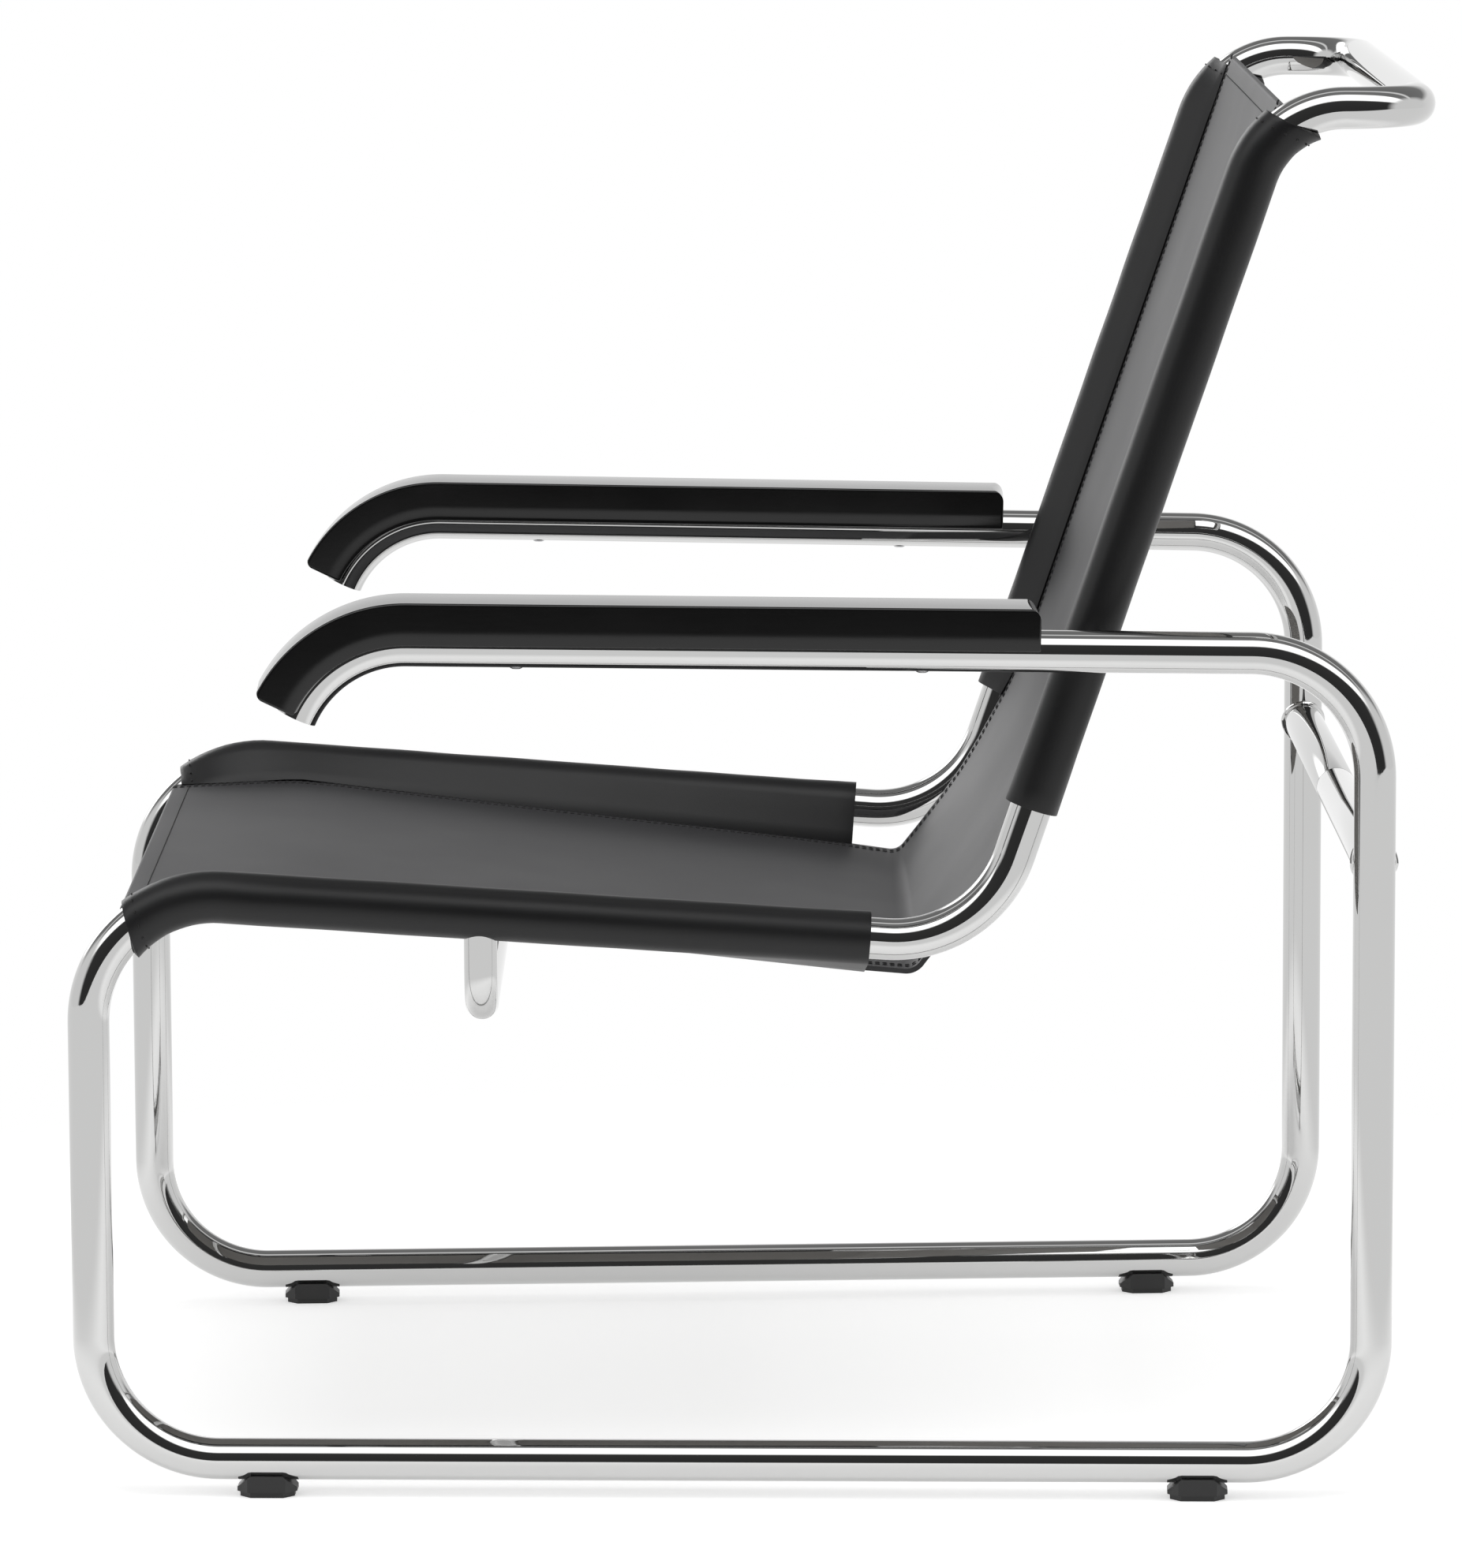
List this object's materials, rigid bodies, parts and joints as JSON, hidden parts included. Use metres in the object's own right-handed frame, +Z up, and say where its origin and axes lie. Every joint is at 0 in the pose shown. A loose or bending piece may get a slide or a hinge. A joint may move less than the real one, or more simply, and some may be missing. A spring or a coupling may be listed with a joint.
{
  "type": "lounge chair",
  "caption": "Cantilever lounge chair: bent chromed tube frame, black leather sling seat and back, black wooden arm pads, glides under the runners.",
  "frame": {"origin": "middle of the chair's plan, on the floor under the glides", "axes": "+Z up, -Y the way the sitter faces, X across the chair"},
  "size_m": [0.6854, 0.8174, 0.841],
  "materials": {
    "chromed_tube": "mirror chrome plate on bent steel tube",
    "bare_steel": "zinc plated steel",
    "lacquered_wood": "black stained and lacquered beech, satin",
    "black_leather": "smooth black saddle leather, soft sheen",
    "black_plastic": "black nylon"
  },
  "bodies": {
    "root": {"left_side_frame": "chromed_tube", "left_cross_tube": "chromed_tube", "left_rail_spigot": "bare_steel", "left_arm_pad": "lacquered_wood", "left_arm_end_plug": "black_plastic", "left_seat_sleeve": "black_leather", "left_back_sleeve": "black_leather", "left_front_glide_saddle": "black_plastic", "left_front_glide_sole": "black_plastic", "left_rear_glide_saddle": "black_plastic", "left_rear_glide_sole": "black_plastic", "right_side_frame": "chromed_tube", "right_cross_tube": "chromed_tube", "right_rail_spigot": "bare_steel", "right_arm_pad": "lacquered_wood", "right_arm_end_plug": "black_plastic", "right_seat_sleeve": "black_leather", "right_back_sleeve": "black_leather", "right_front_glide_saddle": "black_plastic", "right_front_glide_sole": "black_plastic", "right_rear_glide_saddle": "black_plastic", "right_rear_glide_sole": "black_plastic", "seat_back_loop": "chromed_tube", "under_seat_brace": "chromed_tube", "cross_tube_spigot": "bare_steel", "rail_joint_screws": "bare_steel", "brace_inserts": "bare_steel", "brace_screws": "bare_steel", "arm_pad_screws": "bare_steel", "glide_screws": "bare_steel", "leather_panel": "black_leather"}
  },
  "joints": []
}
